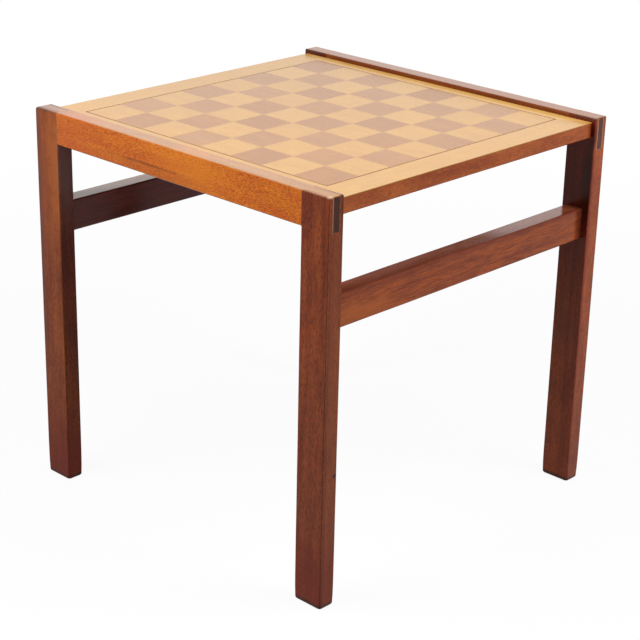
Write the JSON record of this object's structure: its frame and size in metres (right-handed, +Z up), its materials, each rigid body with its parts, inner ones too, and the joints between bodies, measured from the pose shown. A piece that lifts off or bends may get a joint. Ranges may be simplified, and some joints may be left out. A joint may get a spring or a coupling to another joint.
{
  "type": "chess table",
  "caption": "Square wooden games table: an inlaid chessboard lies between two raised side rails, lifts straight out, and stands on four straight legs joined by end stretchers.",
  "frame": {"origin": "on the floor, under the middle of the table", "axes": "+X across the table from the left rail to the right rail, +Y along the rails from the front (white player's) end to the back end, +Z up"},
  "size_m": [0.538, 0.542, 0.54],
  "materials": {
    "leg_mahogany": "semi-gloss varnish over oiled red-brown mahogany",
    "rail_mahogany": "semi-gloss varnish over orange-brown mahogany with open pores",
    "stretcher_mahogany": "semi-gloss varnish over red-brown mahogany",
    "lipping_mahogany": "semi-gloss varnish",
    "maple_veneer": "glossy varnish over aged maple",
    "mahogany_veneer": "glossy varnish over mahogany",
    "stringing_dark": "glossy varnish over dark walnut line",
    "backing_mahogany": "satin varnish",
    "core_blockboard": "raw, hidden",
    "ledge_beech": "oiled beech",
    "screw_brass": "plain brass"
  },
  "bodies": {
    "frame": {"leg_front_left": "leg_mahogany", "leg_back_left": "leg_mahogany", "leg_front_right": "leg_mahogany", "leg_back_right": "leg_mahogany", "side_rail_left": "rail_mahogany", "side_rail_right": "rail_mahogany", "end_stretcher_front": "stretcher_mahogany", "end_stretcher_back": "stretcher_mahogany", "ledge_left": "ledge_beech", "ledge_right": "ledge_beech", "ledge_screws_left": "screw_brass", "ledge_screws_right": "screw_brass"},
    "board": {"board_core": "core_blockboard", "backing_veneer": "backing_mahogany", "light_squares": "maple_veneer", "dark_squares": "mahogany_veneer", "lipping_front": "lipping_mahogany", "lipping_right": "lipping_mahogany", "lipping_back": "lipping_mahogany", "lipping_left": "lipping_mahogany", "pale_line_front": "maple_veneer", "pale_line_right": "maple_veneer", "pale_line_back": "maple_veneer", "pale_line_left": "maple_veneer", "stringing_front": "stringing_dark", "stringing_right": "stringing_dark", "stringing_back": "stringing_dark", "stringing_left": "stringing_dark", "border_front": "maple_veneer", "border_right": "maple_veneer", "border_back": "maple_veneer", "border_left": "maple_veneer"}
  },
  "joints": [
    {"name": "board_lift", "type": "slide", "parent": "frame", "child": "board", "axis": [0, 0, 1], "range_m": [0, 0.0296]}
  ]
}
